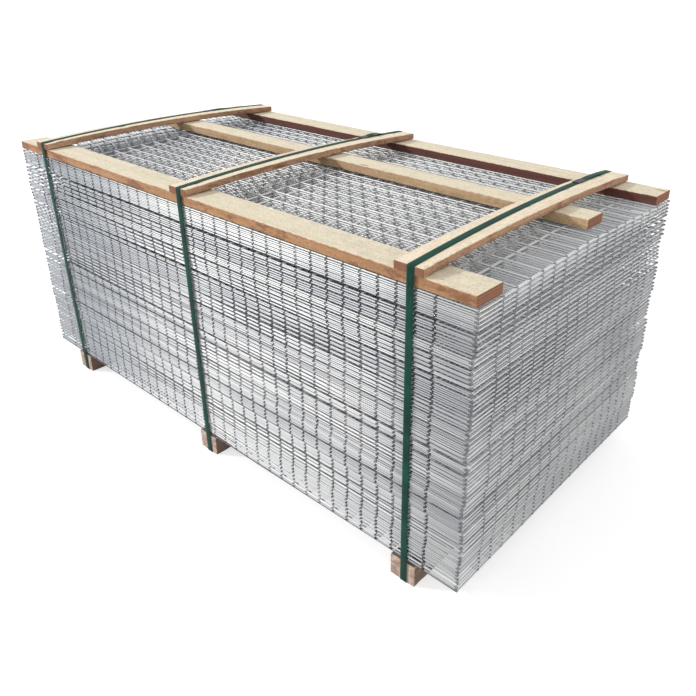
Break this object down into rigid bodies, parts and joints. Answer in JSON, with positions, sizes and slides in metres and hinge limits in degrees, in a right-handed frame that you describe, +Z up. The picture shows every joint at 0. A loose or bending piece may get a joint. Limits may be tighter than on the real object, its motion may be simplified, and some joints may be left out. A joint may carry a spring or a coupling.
{
  "type": "strapped bundle of welded wire mesh panels",
  "caption": "Flat stack of square welded wire mesh panels on timber bearers, with timber runners and bowed cross battens on top, tied down by flat green straps.",
  "frame": {"origin": "on the floor under the middle of the bundle's bounding box", "axes": "+X along the sheets, +Y across them towards the back long face, +Z up"},
  "size_m": [2.412, 1.2126, 1.1065],
  "materials": {
    "galvanised_wire": "dull zinc",
    "sawn_softwood": "rough sawn, bare",
    "green_strap": "semi-gloss, embossed",
    "seal_steel": "plain"
  },
  "bodies": {
    "root": {"bearer_left": "sawn_softwood", "bearer_middle": "sawn_softwood", "bearer_right": "sawn_softwood", "mesh_lot_1": "galvanised_wire", "mesh_lot_2": "galvanised_wire", "mesh_lot_3": "galvanised_wire", "mesh_lot_4": "galvanised_wire", "mesh_lot_5": "galvanised_wire", "mesh_lot_6": "galvanised_wire", "mesh_lot_7": "galvanised_wire", "mesh_lot_8": "galvanised_wire", "top_sheet_left": "galvanised_wire", "top_sheet_right": "galvanised_wire", "runner_front": "sawn_softwood", "runner_middle": "sawn_softwood", "runner_back": "sawn_softwood", "batten_left": "sawn_softwood", "batten_middle": "sawn_softwood", "batten_right": "sawn_softwood", "strap_left": "green_strap", "strap_middle": "green_strap", "strap_right": "green_strap", "seal_left": "seal_steel", "seal_middle": "seal_steel", "seal_right": "seal_steel"}
  },
  "joints": []
}
